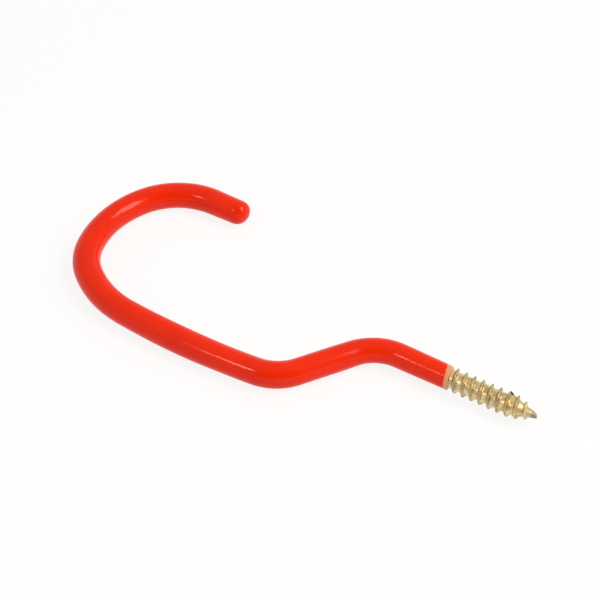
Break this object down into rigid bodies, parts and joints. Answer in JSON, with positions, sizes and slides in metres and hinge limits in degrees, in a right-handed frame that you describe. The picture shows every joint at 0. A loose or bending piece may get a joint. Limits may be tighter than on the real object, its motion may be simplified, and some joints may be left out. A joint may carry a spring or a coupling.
{
  "type": "screw-in utility hook",
  "caption": "Vinyl-coated bent steel hook with a wood screw end, an offset neck and an open U-shaped loop for hanging tools, hoses and ladders.",
  "frame": {"origin": "centre of the coating's end face on the screw's axis, where the hook seats against the wood", "axes": "+X along the screw towards its point, Y across the loop from the long run (-Y) to the tip leg (+Y), +Z square to the plane of the bends; the hook lies flat on its coating"},
  "size_m": [0.1515, 0.0614, 0.0082],
  "materials": {
    "zinc_steel": "yellowish zinc plate on rolled steel",
    "red_vinyl": "glossy dipped vinyl"
  },
  "bodies": {
    "root": {"steel_hook_rod": "zinc_steel", "vinyl_coating": "red_vinyl"}
  },
  "joints": []
}
